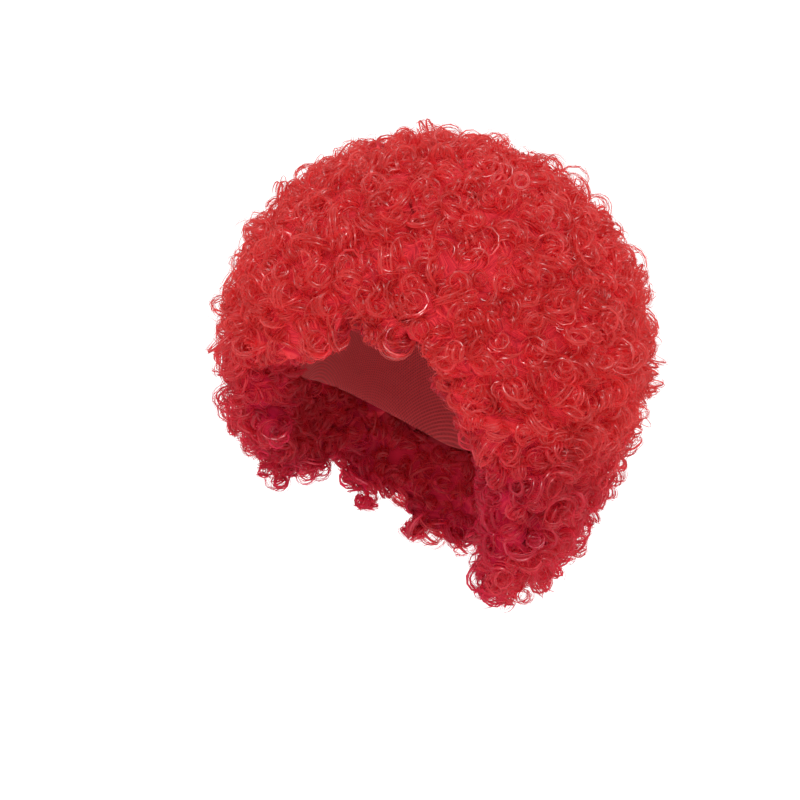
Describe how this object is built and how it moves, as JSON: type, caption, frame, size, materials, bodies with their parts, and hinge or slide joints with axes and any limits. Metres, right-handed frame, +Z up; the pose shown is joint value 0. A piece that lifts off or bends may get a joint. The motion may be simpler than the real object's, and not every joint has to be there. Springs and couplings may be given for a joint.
{
  "type": "curly costume wig",
  "caption": "Round curly afro costume wig: rows of red synthetic curls sewn on a hollow stretch cap, open at the face, worn on an adult head.",
  "frame": {"origin": "the point inside the crown of the cap that rests on the top of the head", "axes": "+Z up out of the crown, the face looks along -Y, +X is the wearer's left"},
  "size_m": [0.2985, 0.2814, 0.2998],
  "materials": {
    "red_fibre": "crimped and curled synthetic fibre with a soft gloss",
    "red_net": "matt stretch net"
  },
  "bodies": {
    "root": {"cap": "red_net", "weft_row_1": "red_fibre", "weft_row_2": "red_fibre", "weft_row_3": "red_fibre", "weft_row_4": "red_fibre", "weft_row_5": "red_fibre", "weft_row_6": "red_fibre", "weft_row_7": "red_fibre", "weft_row_8": "red_fibre"}
  },
  "joints": []
}
